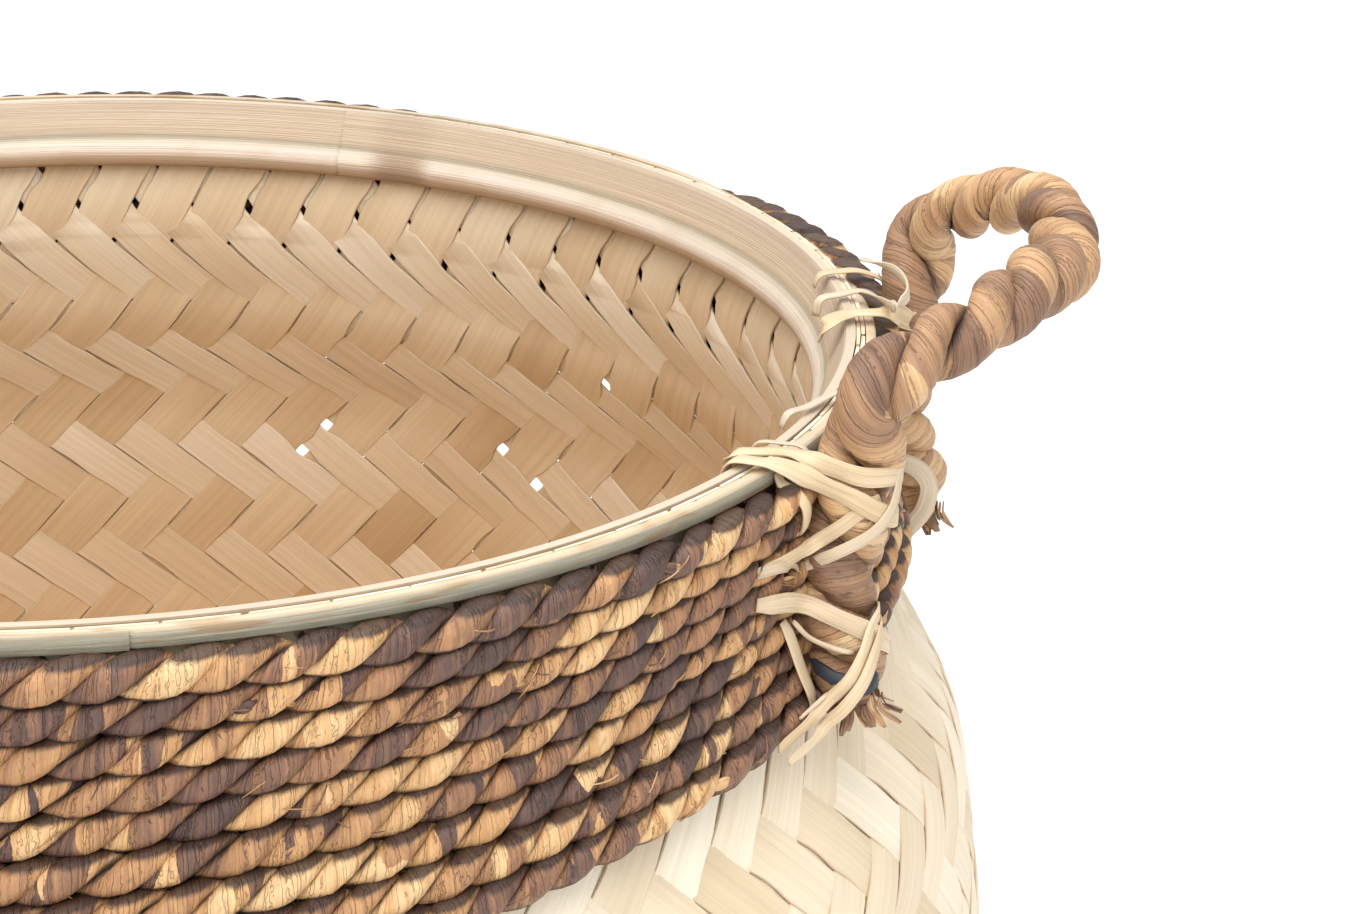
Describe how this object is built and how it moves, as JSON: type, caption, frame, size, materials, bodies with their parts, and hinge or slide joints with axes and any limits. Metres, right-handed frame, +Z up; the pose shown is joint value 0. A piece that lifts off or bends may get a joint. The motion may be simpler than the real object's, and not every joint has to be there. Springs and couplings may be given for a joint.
{
  "type": "bamboo basket",
  "caption": "Round-bellied woven bamboo basket with a split-bamboo rim, a rope-wound neck and rope handles tied on with cane.",
  "frame": {"origin": "on the floor under the middle of the base", "axes": "+Z up through the mouth, the handles at +X and -X, the front at -Y"},
  "size_m": [0.4874, 0.4476, 0.3576],
  "materials": {
    "weave": "split bamboo strips, satin, pale straw outside and honey inside",
    "inner_hoop": "thick split-bamboo strip, smooth satin",
    "outer_hoop": "bamboo skin, greenish grey, satin",
    "neck_rope": "two-strand plant-fibre rope, straw to purple brown, matt",
    "handle_rope": "thick two-strand plant-fibre rope, tan to brown, matt",
    "cane": "flat cane strips, cream, satin",
    "tape": "dark grey binding tape, matt"
  },
  "bodies": {
    "basket": {"woven_body": "weave", "inner_rim_hoop": "inner_hoop", "outer_rim_hoop": "outer_hoop", "neck_rope": "neck_rope", "right_front_handle_foot": "handle_rope", "right_front_end_tape": "tape", "right_front_upper_lashing_over": "cane", "right_front_upper_lashing_return": "cane", "right_front_lower_lashing_over": "cane", "right_front_lower_lashing_return": "cane", "right_front_rim_tie": "cane", "right_back_handle_foot": "handle_rope", "right_back_end_tape": "tape", "right_back_upper_lashing_over": "cane", "right_back_upper_lashing_return": "cane", "right_back_lower_lashing_over": "cane", "right_back_lower_lashing_return": "cane", "right_back_rim_tie": "cane", "left_front_handle_foot": "handle_rope", "left_front_end_tape": "tape", "left_front_upper_lashing_over": "cane", "left_front_upper_lashing_return": "cane", "left_front_lower_lashing_over": "cane", "left_front_lower_lashing_return": "cane", "left_front_rim_tie": "cane", "left_back_handle_foot": "handle_rope", "left_back_end_tape": "tape", "left_back_upper_lashing_over": "cane", "left_back_upper_lashing_return": "cane", "left_back_lower_lashing_over": "cane", "left_back_lower_lashing_return": "cane", "left_back_rim_tie": "cane"},
    "right_handle": {"right_handle_loop": "handle_rope"},
    "left_handle": {"left_handle_loop": "handle_rope"}
  },
  "joints": [
    {"name": "right_handle_swing", "type": "hinge", "parent": "basket", "child": "right_handle", "pos_m": [0.19849, 0, 0.322], "axis": [0, -1, 0], "range_deg": [-25, 60], "stiffness_Nm_per_rad": 0.3},
    {"name": "left_handle_swing", "type": "hinge", "parent": "basket", "child": "left_handle", "pos_m": [-0.19849, 0, 0.322], "axis": [0, 1, 0], "range_deg": [-25, 60], "stiffness_Nm_per_rad": 0.3}
  ]
}
